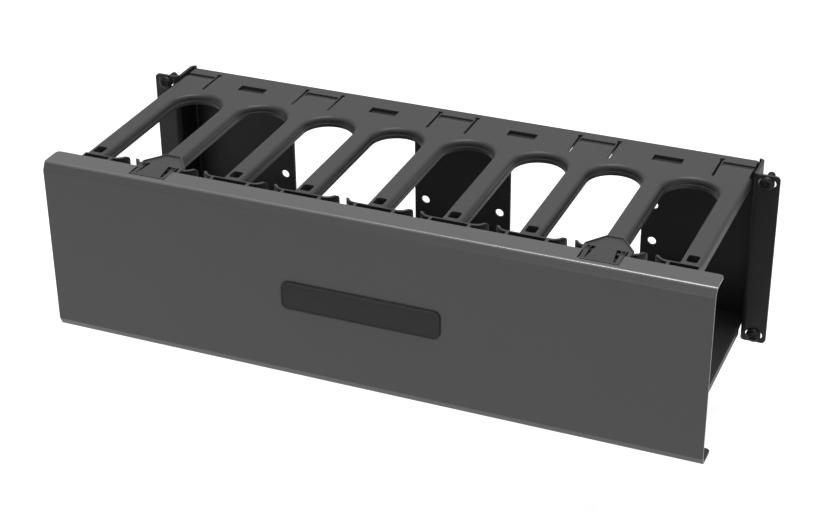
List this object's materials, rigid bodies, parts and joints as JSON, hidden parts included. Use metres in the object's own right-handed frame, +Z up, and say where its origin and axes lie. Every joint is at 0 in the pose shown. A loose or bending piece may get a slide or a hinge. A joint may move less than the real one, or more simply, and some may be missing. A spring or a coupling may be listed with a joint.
{
  "type": "horizontal cable manager",
  "caption": "Horizontal rack cable manager: folded rear bracket, moulded finger combs above and below with round-ended slots, and a hinged front cover that lifts up or drops down.",
  "frame": {"origin": "centre of the four rack screws, on the rear face of the ears, which meets the rack rails", "axes": "+X along the rack face to the right as seen from the front, +Y into the rack, +Z up"},
  "size_m": [0.4826, 0.1935, 0.132],
  "materials": {
    "bracket_coat": "satin black powder coat",
    "comb_plastic": "finely textured black moulding",
    "cover_coat": "satin dark grey powder coat",
    "badge_plastic": "smooth black field with a soft rim",
    "clip_plastic": "smooth black moulding",
    "pin_steel": "drawn steel",
    "screw_steel": "black zinc plating",
    "washer_plastic": "plain black plastic"
  },
  "bodies": {
    "frame": {"rear_bracket": "bracket_coat", "top_comb": "comb_plastic", "bottom_comb": "comb_plastic", "hinge_pin_bottom_left": "pin_steel", "hinge_pin_bottom_right": "pin_steel", "rack_screw_top_left": "screw_steel", "rack_screw_top_right": "screw_steel", "rack_screw_bottom_left": "screw_steel", "rack_screw_bottom_right": "screw_steel", "keeper_washer_top_left": "washer_plastic", "keeper_washer_top_right": "washer_plastic", "keeper_washer_bottom_left": "washer_plastic", "keeper_washer_bottom_right": "washer_plastic"},
    "top_pins": {"hinge_pin_top_left": "pin_steel", "hinge_pin_top_right": "pin_steel"},
    "cover": {"cover": "cover_coat", "badge_plate": "badge_plastic", "hinge_clip_top_left": "clip_plastic", "hinge_clip_top_right": "clip_plastic", "hinge_clip_bottom_left": "clip_plastic", "hinge_clip_bottom_right": "clip_plastic"}
  },
  "joints": [
    {"name": "cover_lift_up", "type": "hinge", "parent": "frame", "child": "top_pins", "pos_m": [0, -0.1403, 0.0625], "axis": [-1, 0, 0], "range_deg": [0, 110]},
    {"name": "cover_drop_down", "type": "hinge", "parent": "top_pins", "child": "cover", "pos_m": [0, -0.1403, -0.0625], "axis": [-1, 0, 0], "range_deg": [-110, 0]}
  ]
}
